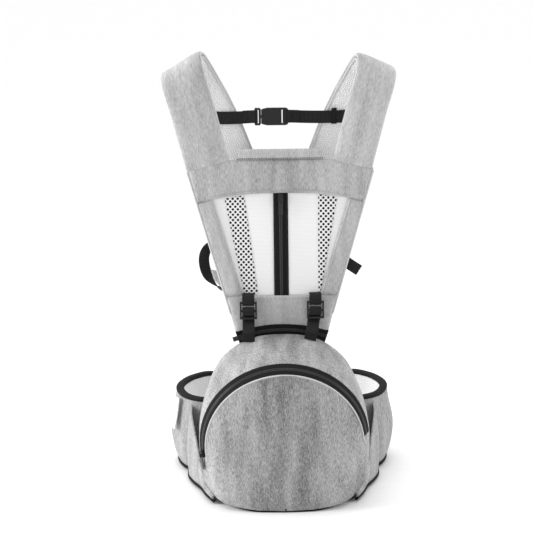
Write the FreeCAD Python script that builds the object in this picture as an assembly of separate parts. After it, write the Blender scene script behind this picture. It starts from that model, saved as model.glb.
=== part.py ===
import FreeCAD, Part
import math
import os

# Hip-seat baby carrier. Millimetres, +Z up, +Y towards the wearer, origin on the floor
# under the middle of the hip seat.

V = FreeCAD.Vector
X_AXIS = V(1, 0, 0)
ORIGIN = V(0, 0, 0)

# Hip seat: arch-shaped sections from the front face back to the wearer.
SEAT_FLOOR = 3.0
SEAT_REAR_Y = 75.0
COVER_THICK = 3.5
SEAT_FRONT_Y = -92.0
ARCH_CENTRE = V(0, -40, 98)
ARCH_TILT = 11.0
ARCH_RADIUS = 130.0
ARCH_BAND_DEPTH = 20.0
ARCH_BAND_DROP = 10.0
ARCH_BAND_THICK = 2.5
ARCH_START_DEG = 6.0
ARCH_END_DEG = 190.0
ARCH_PARK_DEG = 187.0
ARCH_STEPS = 28
ARCH_SECTION = 6
# Outlines from front to back: depth, height of the arch's centre, tilt, half width,
# rise, half width at the foot, and how square the arch is.
SEAT_SECTIONS = [
    (-92.0, 92.0, 0.0, 36.0, 44.0, 22.0, 2.0),
    (-90.0, 93.0, 0.0, 66.0, 75.0, 42.0, 2.0),
    (-85.0, 94.0, 1.5, 90.0, 97.0, 58.0, 2.0),
    (-77.0, 94.0, 4.0, 106.0, 110.0, 73.0, 2.0),
    (-68.0, 94.0, 8.0, 114.0, 116.5, 84.0, 2.0),
    (-59.63, 94.18, 11.0, 120.0, 120.0, 92.0, 2.0),
    (-40.0, 98.0, 11.0, 130.0, 130.0, 102.0, 2.0),
    (-25.0, 98.0, 9.5, 131.0, 132.5, 105.0, 2.05),
    (-5.0, 98.0, 7.0, 131.5, 135.5, 107.0, 2.1),
    (20.0, 98.0, 4.5, 131.0, 137.5, 108.0, 2.2),
    (48.0, 98.0, 2.0, 129.0, 138.0, 108.0, 2.3),
    (75.0, 98.0, 0.0, 125.0, 138.0, 106.0, 2.4),
]

# Front panel, leaning back a little from its foot on the seat zip.
PANEL_FOOT_Y = 78.0
PANEL_FOOT_Z = 249.0
PANEL_LEAN = 2.5
PANEL_THICK = 5.0
PANEL_FOOT_HALF = 75.0
PANEL_SPREAD = 0.285
WINDOW_LOW = 49.0
WINDOW_HIGH = 203.0
WINDOW_HALF_LOW = 60.5
WINDOW_HALF_HIGH = 107.0
BAND_MIDDLE_LOW = 212.0
PANEL_TOP = 265.0
SHOULDER_SEAM_IN = 83.0
SHOULDER_SEAM_OUT = 146.0
SHOULDER_SEAM_DROP = 15.0
FLAP_HALF = 68.0
FLAP_HIGH = 16.0
FLAP_THICK = 9.0

# Zips and webbing.
ZIP_TAPE_HALF = 11.5
ZIP_COIL_HALF = 3.0
LONG_PULL = 26.0
SHORT_PULL = 17.0
SEAT_ZIP_RADIUS = 224.0
SEAT_ZIP_CENTRE_Z = 19.0
SEAT_ZIP_HALF_DEG = 18.5
WEB_THICK = 1.6
WEB_HALF = 10.0
SIDE_WEB_HALF = 9.0
LOCK_X = -53.0
LOCK_Y = 68.0
LOCK_TOP_Z = 289.0
LOCK_SLANT_RIGHT = 10.0

# Waist belt ring.
BELT_LOW = 9.0
BELT_HIGH = 123.0
BELT_THICK = 9.0
BELT_BULGE = 9.0
GUSSET_THICK = 4.0
LINING_THICK = 2.5
BINDING_HIGH = 6.0
WAIST_WEB_HALF = 16.0
WAIST_SCALE = 1.6
WAIST_Y = 272.0
WAIST_Z = 66.0
WAIST_X = -18.0

# Shoulder straps.
STRAP_HALF_LEFT = 34.0
STRAP_HALF_RIGHT = 30.5
FOLD_LEFT = 0.52
FOLD_RIGHT = 0.38
STRAP_THICK = 12.0
MESH_THICK = 2.5
CHEST_Z = 577.0
CHEST_Y = 124.6
CHEST_X = -28.5


def save(node, shape):
    shape.exportStep("parts/" + node + ".step")


def mirrored(shape):
    return shape.mirror(ORIGIN, X_AXIS)


def save_pair(name, shape):
    save(name + "_left", shape)
    save(name + "_right", mirrored(shape))


def polygon_prism(points, low, high):
    """Solid from (x, height) points, standing in the XZ plane between two depths."""
    wire = Part.makePolygon([V(x, low, s) for x, s in points + points[:1]])
    return Part.Face(wire).extrude(V(0, high - low, 0))


def box(x0, x1, y0, y1, z0, z1):
    return Part.makeBox(x1 - x0, y1 - y0, z1 - z0, V(x0, y0, z0))


def tangent_at(path, i):
    before = path[max(i - 1, 0)]
    after = path[min(i + 1, len(path) - 1)]
    return (after - before).normalize()


def smooth(points, steps):
    """Catmull-Rom points through a path, with this many steps between its points."""
    dense = []
    last = len(points) - 1
    for i in range(last):
        a = points[max(i - 1, 0)]
        b = points[i]
        c = points[i + 1]
        d = points[min(i + 2, last)]
        for step in range(steps):
            t = step / float(steps)
            blend = (b * 2 + (c - a) * t + (a * 2 - b * 5 + c * 4 - d) * t ** 2
                     + (b * 3 - a - c * 3 + d) * t ** 3)
            dense.append(blend * 0.5)
    dense.append(V(points[last]))
    return dense


def section(centre, across, normal, half_width, half_thick, chamfer):
    """Closed wire across a strap; a chamfer rounds off its four corners."""
    w, t, c = half_width, half_thick, chamfer
    if c > 0:
        corners = [(w - c, -t), (w, c - t), (w, t - c), (w - c, t),
                   (c - w, t), (-w, t - c), (-w, c - t), (c - w, -t)]
    else:
        corners = [(w, -t), (w, t), (-w, t), (-w, -t)]
    points = [centre + across * a + normal * b for a, b in corners]
    return Part.makePolygon(points + points[:1])


def strap(path, across, half_widths, half_thick, offset, chamfer, ruled):
    """Loft a flat strap along a path; offset moves it sideways along its own normal."""
    wires = []
    for i, point in enumerate(path):
        tangent = tangent_at(path, i)
        side = V(across[i])
        side = (side - tangent * side.dot(tangent)).normalize()
        normal = tangent.cross(side).normalize()
        centre = point + normal * offset
        wires.append(section(centre, side, normal, half_widths[i], half_thick, chamfer))
    return Part.makeLoft(wires, True, ruled)


# ---------------------------------------------------------------- hip seat


def arch_wire(centre, tilt, half_width, height, foot_half, power, inset, floor):
    """One arch-shaped outline of the seat, in a plane tilted about X."""
    lean = math.radians(tilt)
    drop = (centre.z - floor) / math.cos(lean)
    a = half_width - inset
    h = height - inset
    b = foot_half - inset
    leg = [(b, -drop), (b + 0.55 * (a - b), -0.95 * drop), (b + 0.8 * (a - b), -0.78 * drop),
           (b + 0.93 * (a - b), -0.5 * drop), (b + 0.985 * (a - b), -0.24 * drop)]
    crown = []
    for step in range(ARCH_STEPS + 1):
        angle = math.pi * step / ARCH_STEPS
        c = math.cos(angle)
        s = math.sin(angle)
        x = a * math.copysign(abs(c) ** (2.0 / power), c)
        crown.append((x, h * abs(s) ** (2.0 / power)))
    flat = leg + crown + [(-x, s) for x, s in reversed(leg)]
    points = [V(x, centre.y - s * math.sin(lean), centre.z + s * math.cos(lean))
              for x, s in flat]
    return Part.makePolygon(points + points[:1])


def seat_block(first, last, inset, floor):
    """The seat between two of its outlines; inset shrinks it to the foam inside."""
    wires = []
    for depth, middle, tilt, half_width, height, foot_half, power in SEAT_SECTIONS[first:last + 1]:
        share = (depth - SEAT_FRONT_Y) / (SEAT_REAR_Y - SEAT_FRONT_Y)
        centre = V(0, depth + inset - 2 * inset * share, middle)
        wires.append(arch_wire(centre, tilt, half_width, height, foot_half, power, inset, floor))
    return Part.makeLoft(wires, True, True)


def arch_frame():
    """Placement whose XY plane holds the arch zip and whose Z points forwards."""
    return FreeCAD.Placement(ARCH_CENTRE, FreeCAD.Rotation(X_AXIS, 90 + ARCH_TILT))


def arch_zip_tape():
    """Half-ring cone: both zip tapes with the coil standing up between them."""
    outer = ARCH_RADIUS
    inner = ARCH_RADIUS - ARCH_BAND_DROP
    thick = ARCH_BAND_THICK
    depth = ARCH_BAND_DEPTH
    middle = (outer + inner) / 2
    rise = 1.2
    profile = [(outer - thick, 0), (outer, 0), (middle + 1.5, depth / 2 - 3),
               (middle + rise, depth / 2 - 2.4), (middle + rise - 2.2, depth / 2 + 2.4),
               (middle - 1.5, depth / 2 + 3), (inner, depth), (inner - thick, depth)]
    wire = Part.makePolygon([V(r, 0, d) for r, d in profile + profile[:1]])
    ring = Part.Face(wire).revolve(ORIGIN, V(0, 0, 1), ARCH_END_DEG - ARCH_START_DEG)
    ring.rotate(ORIGIN, V(0, 0, 1), ARCH_START_DEG)
    ring.Placement = arch_frame().multiply(ring.Placement)
    return ring


def seat_parts():
    last = len(SEAT_SECTIONS) - 1
    core = seat_block(0, last, COVER_THICK, SEAT_FLOOR)
    cutter = seat_block(0, last, COVER_THICK, -SEAT_FLOOR)
    tape = arch_zip_tape()
    top_cover = seat_block(ARCH_SECTION, last, 0, SEAT_FLOOR).cut(cutter)
    front = seat_block(0, ARCH_SECTION - 1, 0, SEAT_FLOOR).cut(cutter)
    sides = seat_block(ARCH_SECTION - 1, ARCH_SECTION, 0, SEAT_FLOOR).cut(cutter)
    left_z = ARCH_CENTRE.z + ARCH_RADIUS * math.sin(math.radians(ARCH_END_DEG)) - 6
    right_z = ARCH_CENTRE.z + ARCH_RADIUS * math.sin(math.radians(ARCH_START_DEG)) - 6
    left_side = sides.common(box(-200, 0, -200, 200, 0, left_z))
    right_side = sides.common(box(0, 200, -200, 200, 0, right_z))
    pocket = front.fuse([left_side, right_side])
    foot = []
    for depth, middle, tilt, half_width, height, foot_half, power in SEAT_SECTIONS:
        lean = math.tan(math.radians(tilt))
        foot.append(V(foot_half, depth + (middle - SEAT_FLOOR) * lean, 0))
    foot = foot + [V(-point.x, point.y, 0) for point in reversed(foot)]
    base = Part.Face(Part.makePolygon(foot + foot[:1])).extrude(V(0, 0, SEAT_FLOOR))
    save("seat_foam_core", core.cut(tape))
    save("seat_top_cover", top_cover)
    save("seat_front_pocket", pocket)
    save("seat_base_panel", base)
    save("pocket_zip_tape", tape)


# ---------------------------------------------------------------- zip sliders


def zip_slider():
    """Slider body on the coil: X along the zip, Z out of the cloth, origin on the coil."""
    body = box(-5.5, 5.5, -4.2, 4.2, 0.4, 2.8)
    nose = box(-5.5, 5.5, -2.6, 2.6, 2.6, 3.2)
    leg_front = box(3.4, 4.6, -1.2, 1.2, 3.0, 7.2)
    leg_back = box(-4.6, -3.4, -1.2, 1.2, 3.0, 7.2)
    bridge = box(-4.6, 4.6, -1.2, 1.2, 6.2, 7.2)
    return body.fuse([nose, leg_front, leg_back, bridge]).removeSplitter()


def zip_pull(length):
    """Pull tab: a bar under the slider's bridge, two arms and a flat tab towards -X."""
    bar = Part.makeCylinder(0.8, 7.4, V(0, -3.7, 4.7), V(0, 1, 0))
    arm_a = box(-8.0, 0, 2.3, 3.7, 4.0, 5.4)
    arm_b = box(-8.0, 0, -3.7, -2.3, 4.0, 5.4)
    tab = box(-length, -7.4, -3.7, 3.7, 4.0, 5.4)
    return bar.fuse([arm_a, arm_b, tab]).removeSplitter()


def place(shape, origin, along, normal):
    """Move a zip part so X runs along the zip and Z points out of the cloth."""
    across = normal.cross(along)
    turn = FreeCAD.Rotation(along, across, normal, "ZXY")
    shape.Placement = FreeCAD.Placement(origin, turn)
    return shape


def arch_zip_slider():
    frame = arch_frame()
    middle = ARCH_RADIUS - ARCH_BAND_DROP / 2
    slope = math.atan2(ARCH_BAND_DROP, ARCH_BAND_DEPTH)
    angle = math.radians(ARCH_PARK_DEG)
    out = V(math.cos(angle), math.sin(angle), 0)
    origin = frame.multVec(out * (middle + 0.2) + V(0, 0, ARCH_BAND_DEPTH / 2))
    along = frame.Rotation.multVec(V(math.sin(angle), -math.cos(angle), 0))
    normal = frame.Rotation.multVec(out * math.cos(slope) + V(0, 0, math.sin(slope)))
    save("pocket_zip_slider", place(zip_slider(), origin, along, normal))
    save("pocket_zip_pull", place(zip_pull(LONG_PULL), origin, along, normal))


# ---------------------------------------------------------------- front panel


def panel_frame():
    """Placement of the leaning panel: X across, Y through the cloth, Z up the panel."""
    foot = V(0, PANEL_FOOT_Y, PANEL_FOOT_Z)
    return FreeCAD.Placement(foot, FreeCAD.Rotation(X_AXIS, -PANEL_LEAN))


def on_panel(shape):
    shape.Placement = panel_frame().multiply(shape.Placement)
    return shape


def panel_half(height):
    return PANEL_FOOT_HALF + PANEL_SPREAD * height


def window_half(height):
    share = (height - WINDOW_LOW) / (WINDOW_HIGH - WINDOW_LOW)
    return WINDOW_HALF_LOW + share * (WINDOW_HALF_HIGH - WINDOW_HALF_LOW)


def panel_parts():
    half_thick = PANEL_THICK / 2
    arc_high = SEAT_ZIP_RADIUS + 6.2
    arc_drop = PANEL_FOOT_Z - SEAT_ZIP_CENTRE_Z
    foot = []
    for step in range(-6, 7):
        angle = math.radians(SEAT_ZIP_HALF_DEG * step / 6.0)
        foot.append((arc_high * math.sin(angle), arc_high * math.cos(angle) - arc_drop))
    low_out = panel_half(WINDOW_LOW)
    base = foot + [(low_out, WINDOW_LOW), (-low_out, WINDOW_LOW)]
    save("panel_base", on_panel(polygon_prism(base, -half_thick, half_thick)))

    side = [(-low_out, WINDOW_LOW), (-window_half(WINDOW_LOW), WINDOW_LOW),
            (-window_half(WINDOW_HIGH), WINDOW_HIGH),
            (-panel_half(WINDOW_HIGH - 5), WINDOW_HIGH - 5)]
    save_pair("panel_side", on_panel(polygon_prism(side, -half_thick, half_thick)))

    right_edge = [(panel_half(WINDOW_HIGH - 5), WINDOW_HIGH - 5),
                  (SHOULDER_SEAM_OUT, PANEL_TOP - SHOULDER_SEAM_DROP),
                  (SHOULDER_SEAM_IN, PANEL_TOP + 2)]
    left_edge = [(-x, s) for x, s in reversed(right_edge)]
    lower = [(-window_half(WINDOW_HIGH), WINDOW_HIGH), (-60, BAND_MIDDLE_LOW - 1.5),
             (0, BAND_MIDDLE_LOW), (60, BAND_MIDDLE_LOW - 1.5),
             (window_half(WINDOW_HIGH), WINDOW_HIGH)]
    top_line = [(FLAP_HALF, PANEL_TOP), (-FLAP_HALF, PANEL_TOP)]
    band = lower + right_edge + top_line + left_edge
    save("panel_top_band", on_panel(polygon_prism(band, -half_thick, half_thick)))

    flap = [(-FLAP_HALF, PANEL_TOP), (FLAP_HALF, PANEL_TOP), (FLAP_HALF, PANEL_TOP + 13),
            (FLAP_HALF - 3, PANEL_TOP + FLAP_HIGH), (3 - FLAP_HALF, PANEL_TOP + FLAP_HIGH),
            (-FLAP_HALF, PANEL_TOP + 13)]
    save("neck_flap", on_panel(polygon_prism(flap, -FLAP_THICK / 2, FLAP_THICK / 2)))

    mesh = [(-ZIP_TAPE_HALF, WINDOW_LOW - 4), (-window_half(WINDOW_LOW) - 4, WINDOW_LOW - 4),
            (-window_half(WINDOW_HIGH) - 4, WINDOW_HIGH), (-60, BAND_MIDDLE_LOW + 3),
            (-ZIP_TAPE_HALF, BAND_MIDDLE_LOW + 4)]
    save_pair("panel_mesh", on_panel(polygon_prism(mesh, half_thick, half_thick + 2)))

    vent = [(-48, WINDOW_LOW + 0.5), (1 - window_half(WINDOW_LOW), WINDOW_LOW + 0.5),
            (1 - window_half(150), 150), (-88, BAND_MIDDLE_LOW - 9),
            (-57, BAND_MIDDLE_LOW - 3.5)]
    save_pair("panel_vent", on_panel(polygon_prism(vent, half_thick - 1.5, half_thick)))

    tape_front = half_thick - 1.5
    tape = box(-ZIP_TAPE_HALF, ZIP_TAPE_HALF, tape_front, half_thick + 2,
               WINDOW_LOW, BAND_MIDDLE_LOW - 0.5)
    coil = box(-ZIP_COIL_HALF, ZIP_COIL_HALF, tape_front - 1.2, tape_front + 0.5,
               WINDOW_LOW, BAND_MIDDLE_LOW - 0.5)
    save("centre_zip_tape", on_panel(tape.fuse(coil).removeSplitter()))
    frame = panel_frame()
    origin = frame.multVec(V(0, tape_front - 1.2, BAND_MIDDLE_LOW - 8))
    along = frame.Rotation.multVec(V(0, 0, 1))
    normal = frame.Rotation.multVec(V(0, -1, 0))
    save("centre_zip_slider", place(zip_slider(), origin, along, normal))
    save("centre_zip_pull", place(zip_pull(LONG_PULL), origin, along, normal))


def seat_zip_parts():
    """The curved zip that joins the panel to the back edge of the seat."""
    low = SEAT_ZIP_RADIUS - 17
    high = SEAT_ZIP_RADIUS + 6
    front = SEAT_REAR_Y + 0.3
    profile = [V(low, front, 0), V(high, front, 0), V(high, front + 2.2, 0),
               V(low, front + 2.2, 0)]
    face = Part.Face(Part.makePolygon(profile + profile[:1]))
    tape = face.revolve(ORIGIN, V(0, 1, 0), 2 * SEAT_ZIP_HALF_DEG)
    tape.rotate(ORIGIN, V(0, 1, 0), -90 - SEAT_ZIP_HALF_DEG)
    ridge = [V(SEAT_ZIP_RADIUS - 3, front - 1, 0), V(SEAT_ZIP_RADIUS + 3, front - 1, 0),
             V(SEAT_ZIP_RADIUS + 3, front + 0.5, 0), V(SEAT_ZIP_RADIUS - 3, front + 0.5, 0)]
    coil_face = Part.Face(Part.makePolygon(ridge + ridge[:1]))
    coil = coil_face.revolve(ORIGIN, V(0, 1, 0), 2 * SEAT_ZIP_HALF_DEG)
    coil.rotate(ORIGIN, V(0, 1, 0), -90 - SEAT_ZIP_HALF_DEG)
    joined = tape.fuse(coil).removeSplitter()
    joined.translate(V(0, 0, SEAT_ZIP_CENTRE_Z))
    save("seat_zip_tape", joined)
    angle = math.radians(SEAT_ZIP_HALF_DEG - 2.5)
    origin = V(-SEAT_ZIP_RADIUS * math.sin(angle), front - 1,
               SEAT_ZIP_CENTRE_Z + SEAT_ZIP_RADIUS * math.cos(angle))
    along = V(math.cos(angle), 0, math.sin(angle))
    save("seat_zip_slider", place(zip_slider(), origin, along, V(0, -1, 0)))
    save("seat_zip_pull", place(zip_pull(SHORT_PULL), origin, along, V(0, -1, 0)))


# ---------------------------------------------------------------- ladder locks

def ladder_lock():
    """Three-bar buckle hanging from its round top bar."""
    rail_out = box(-13.5, -10.8, -2, 2, -26, 2)
    rail_in = box(10.8, 13.5, -2, 2, -26, 2)
    top_bar = Part.makeCylinder(1.8, 26, V(-13, 0, 0), V(1, 0, 0))
    middle_bar = box(-12, 12, -1.6, 1.6, -14.5, -11)
    bottom_bar = box(-12, 12, -2, 2, -26, -23)
    return rail_out.fuse([rail_in, top_bar, middle_bar, bottom_bar]).removeSplitter()


def lock_loop():
    """Webbing loop that hangs a lock from the panel by its top bar."""
    panel_front = 75.6
    path = [V(LOCK_X, panel_front, 303), V(LOCK_X, LOCK_Y - 0.5, 301),
            V(LOCK_X, LOCK_Y - 3.4, 296), V(LOCK_X, LOCK_Y - 3.4, LOCK_TOP_Z),
            V(LOCK_X, LOCK_Y - 2.4, LOCK_TOP_Z - 2.6), V(LOCK_X, LOCK_Y, LOCK_TOP_Z - 3.6),
            V(LOCK_X, LOCK_Y + 2.4, LOCK_TOP_Z - 2.6), V(LOCK_X, LOCK_Y + 3.4, LOCK_TOP_Z),
            V(LOCK_X, LOCK_Y + 3.6, 293), V(LOCK_X, panel_front - 1.2, 297.5)]
    return lock_web(path)


def lock_strap(slant):
    """Strap up from the seat round the lock's middle bar.

    It is sewn far enough forward to leave the seat zip's pull room to swing. Its foot
    lies slant nearer the middle, where the domed seat stands higher.
    """
    route = [(49, 231.6 + 0.25 * slant), (49.6, 239), (51, 246), (60.5, 253.5), (71.2, 259.4),
             (71.9, 264), (71.8, 274), (70.8, 279.8), (LOCK_Y, 281.6), (64.0, 280.8),
             (62.5, 275), (62.2, 270)]
    path = [V(LOCK_X + slant * max(0, (270 - z) / 37.4), y, z) for y, z in route]
    return lock_web(path)


def lock_web(path):
    count = len(path)
    half = WEB_HALF - 0.3
    return strap(path, [X_AXIS] * count, [half] * count, WEB_THICK / 2, 0, 0, True)


def lock_parts():
    lock = ladder_lock()
    lock.translate(V(LOCK_X, LOCK_Y, LOCK_TOP_Z))
    save_pair("lock_loop", lock_loop())
    save("lock_strap_left", lock_strap(0))
    save("lock_strap_right", mirrored(lock_strap(LOCK_SLANT_RIGHT)))
    save_pair("ladder_lock", lock)


# ---------------------------------------------------------------- side-release buckle


def outline_block(half, low, high):
    """Block whose outline along X mirrors these (x, half width) points."""
    points = half + [(x, -y) for x, y in reversed(half)]
    wire = Part.makePolygon([V(x, y, low) for x, y in points + points[:1]])
    return Part.Face(wire).extrude(V(0, 0, high - low))


def release_buckle(k):
    """Socket, plug and two prongs: X runs plug to socket, Y across, Z through.

    The origin is the socket's mouth. k scales the 20 mm webbing size.
    """
    plan = [(0, 10.8), (3, 12), (9, 13.5), (38, 13.5), (41.5, 12.4), (42.5, 10)]
    side = [(0, 3.8), (2.5, 4.5), (39, 4.5), (42.5, 3.2)]
    socket = outline_block(plan, -4.5, 4.5).common(
        outline_block(side, -13.5, 13.5).rotated(ORIGIN, X_AXIS, 90))
    cavity = box(-1, 27, -9.9, 9.9, -3.2, 3.2).fuse(box(8, 27, -11, 11, -3.2, 3.2))
    windows = box(9, 22, -14, 14, -3.2, 3.2)
    socket_slot = box(32.0, 36.0, -10.6, 10.6, -5, 5)
    socket = socket.cut(cavity).cut(windows).cut(socket_slot)
    grip = [(-10.5, 12.2), (-9.5, 13.5), (-2.5, 13.5), (-0.4, 11)]
    bar = outline_block(grip, -4, 4)
    plug_slot = box(-7.6, -4, -10.6, 10.6, -5, 5)
    tongue = box(-2, 18, -2, 2, -2.6, 2.6)
    plug = bar.cut(plug_slot).fuse(tongue).removeSplitter()
    outline = [(0.1, 7.4), (20.5, 7.4), (21, 9.5), (19, 12.6), (15, 13.3), (9.6, 13.3),
               (9.6, 9.4), (0.1, 9.4)]
    wire = Part.makePolygon([V(x, y, -2.8) for x, y in outline + outline[:1]])
    prong_a = Part.Face(wire).extrude(V(0, 0, 5.6))
    prong_b = prong_a.mirror(ORIGIN, V(0, 1, 0))
    parts = []
    for shape in (socket, plug, prong_a, prong_b):
        shape.scale(k)
        parts.append(shape)
    return parts


def buckle_parts():
    names = ("_socket", "_plug", "_prong_upper", "_prong_lower")
    stand = FreeCAD.Rotation(X_AXIS, 90)
    chest_spot = FreeCAD.Placement(V(CHEST_X, CHEST_Y, CHEST_Z), stand)
    for name, shape in zip(names, release_buckle(1.0)):
        shape.Placement = chest_spot
        save("chest" + name, shape)
    waist_spot = FreeCAD.Placement(V(WAIST_X, WAIST_Y, WAIST_Z), stand)
    for name, shape in zip(names, release_buckle(WAIST_SCALE)):
        shape.Placement = waist_spot
        save("waist" + name, shape)


# ---------------------------------------------------------------- shoulder straps


def shoulder_path():
    """Left shoulder strap, from the panel seam over the shoulder and down the back."""
    return [V(-114.4, 89.5, 509.6), V(-123, 86, 545), V(-135, 84, 592), V(-144, 85, 622),
            V(-149, 88.5, 641), V(-150.5, 96.5, 654), V(-149, 108, 660), V(-144.5, 120, 657),
            V(-137, 129, 644), V(-126, 132.5, 624), V(-111, 134, 596), V(-93, 135, 557),
            V(-75, 135, 511), V(-58, 134, 465), V(-46, 131, 428)]


def shoulder_across(fold):
    """Directions across the left strap; fold is how steeply it slopes at the top."""
    rises = [0.26, 0.27, 0.28, 0.31, fold - 0.09, fold - 0.02, fold, fold, fold - 0.02,
             fold - 0.06, 0.38, 0.37, 0.37, 0.34, 0.31]
    return [V(math.sqrt(1 - rise * rise), 0, rise) for rise in rises]


def shoulder_strap(half_width, fold):
    """Pad and lining of a left strap."""
    path = smooth(shoulder_path(), 3)
    across = smooth(shoulder_across(fold), 3)
    count = len(path)
    taper = [half_width * share for share in (0.985, 0.955, 0.895, 0.82, 0.7, 0.545)]
    widths = [half_width] * (count - 6) + taper
    pad = strap(path, across, widths, STRAP_THICK / 2, 0, 3.5, True)
    lining_widths = [w - 1.5 for w in widths]
    gap = STRAP_THICK / 2 + MESH_THICK / 2
    lining = strap(path, across, lining_widths, MESH_THICK / 2, gap, 0, True)
    return pad, lining


def strap_parts():
    pad, lining = shoulder_strap(STRAP_HALF_LEFT, FOLD_LEFT)
    save("shoulder_pad_left", pad)
    save("shoulder_mesh_left", lining)
    pad, lining = shoulder_strap(STRAP_HALF_RIGHT, FOLD_RIGHT)
    save("shoulder_pad_right", mirrored(pad))
    save("shoulder_mesh_right", mirrored(lining))


def side_webbing():
    """The left webbing loops out round the panel edge; the right one ends in a free tail."""
    loop = [V(-46.5, 121.2, 426), V(-48, 121.0, 418), V(-58, 118, 408), V(-84, 110, 394),
            V(-108, 101, 380), V(-120, 97, 366), V(-122, 96, 348), V(-116, 96, 328),
            V(-103, 96, 312), V(-93, 95, 306)]
    loop_across = [V(0.95, 0, 0.31), V(0.9, 0.1, 0.4), V(0.75, 0.2, 0.62), V(0.5, 0.35, 0.8),
                   V(0.55, 0.6, 0.6), V(0.62, 0.75, 0.2), V(0.62, 0.78, 0.0),
                   V(0.6, 0.75, -0.25), V(0.45, 0.75, -0.5), V(0.2, 0.75, -0.6)]
    tail = [V(46.5, 121.2, 426), V(50, 120.6, 416), V(60, 117, 398), V(74, 110, 376),
            V(92, 102, 356), V(108, 98, 344), V(124, 96, 333.5)]
    tail_across = [V(0.95, 0, -0.31), V(0.95, 0.05, -0.3), V(0.9, 0.1, 0.35),
                   V(0.75, 0.1, 0.6), V(0.6, 0.1, 0.8), V(0.56, 0.1, 0.83),
                   V(0.56, 0.1, 0.83)]
    ends = (("left", loop, loop_across), ("right", tail, tail_across))
    for name, path, across in ends:
        line = smooth(path, 2)
        sides = smooth(across, 2)
        web = strap(line, sides, [SIDE_WEB_HALF] * len(line), WEB_THICK / 2, 0, 0, True)
        save("side_webbing_" + name, web)

    tab = [(-112, 92), (-95, 88), (-84, 62), (-93, 60), (-106, 74)]
    hidden = [(96, 92), (80.5, 88), (71.5, 62), (79, 60), (90, 74)]
    rear = PANEL_THICK / 2
    save("side_tab_left", on_panel(polygon_prism(tab, rear, rear + 1.8)))
    save("side_tab_right", on_panel(polygon_prism(hidden, rear, rear + 1.8)))


def chest_webbing():
    """Webbing from each strap lining to its half of the chest buckle."""
    half = WEB_HALF
    low = CHEST_Z - half
    high = CHEST_Z + half
    front = CHEST_Y - WEB_THICK / 2
    rear = CHEST_Y + WEB_THICK / 2
    left = box(-126, CHEST_X - 10.9, front, rear, low, high)
    right = box(CHEST_X + 42.9, 126, front, rear, low, high)
    save("chest_webbing_left", left)
    save("chest_webbing_right", right)


# ---------------------------------------------------------------- waist belt


def belt_path():
    """Middle line of the left belt wing, from the seat round to the wearer's back."""
    return [V(-109, 84, 0), V(-134, 90, 0), V(-154, 107, 0), V(-166, 135, 0),
            V(-170, 166, 0), V(-164, 198, 0), V(-149, 227, 0), V(-122, 248, 0),
            V(-94, 259, 0), V(-64, 265, 0)]


def belt_wall(low_high, thick, offset, bulge):
    """Upright wall along the belt; bulge swells its outer face at half height."""
    wires = []
    path = smooth(belt_path(), 2)
    levels = smooth([V(low, high, 0) for low, high in low_high], 2)
    for i, point in enumerate(path):
        tangent = tangent_at(path, i)
        normal = V(tangent.y, -tangent.x, 0)
        low = levels[i].x
        high = levels[i].y
        share = i / (len(path) - 1.0)
        swell = bulge * math.sin(math.pi * min(1, 1.2 * share))
        middle = low + 0.45 * (high - low)
        a = point + normal * (offset - thick / 2)
        b = point + normal * (offset + thick / 2)
        corners = [V(a.x, a.y, low), V(b.x, b.y, low), V(b.x, b.y, high), V(a.x, a.y, high)]
        if bulge > 0:
            out = a - normal * (0.2 + swell)
            corners.append(V(out.x, out.y, middle + 20))
            corners.append(V(out.x, out.y, middle - 20))
        wires.append(Part.makePolygon(corners + corners[:1]))
    return Part.makeLoft(wires, True, True)


def gusset_wall(last, low, highs, leans, thick):
    """Side gusset of the left wing, from the seat's side back to the point last.

    It hugs the narrow foot of the seat and leans outwards by leans as it rises.
    """
    wires = []
    path = [V(-109.5, -52, 0), V(-121, -24, 0), V(-129.5, 4, 0), V(-142, 32, 0),
            V(-151, 60, 0), last]
    for i, point in enumerate(path):
        tangent = tangent_at(path, i)
        normal = V(tangent.y, -tangent.x, 0)
        a = point - normal * (thick / 2)
        b = point + normal * (thick / 2)
        out = normal * leans[i]
        corners = [V(a.x, a.y, low), V(b.x, b.y, low), V(b.x - out.x, b.y - out.y, highs[i]),
                   V(a.x - out.x, a.y - out.y, highs[i])]
        wires.append(Part.makePolygon(corners + corners[:1]))
    return Part.makeLoft(wires, True, True)


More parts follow.
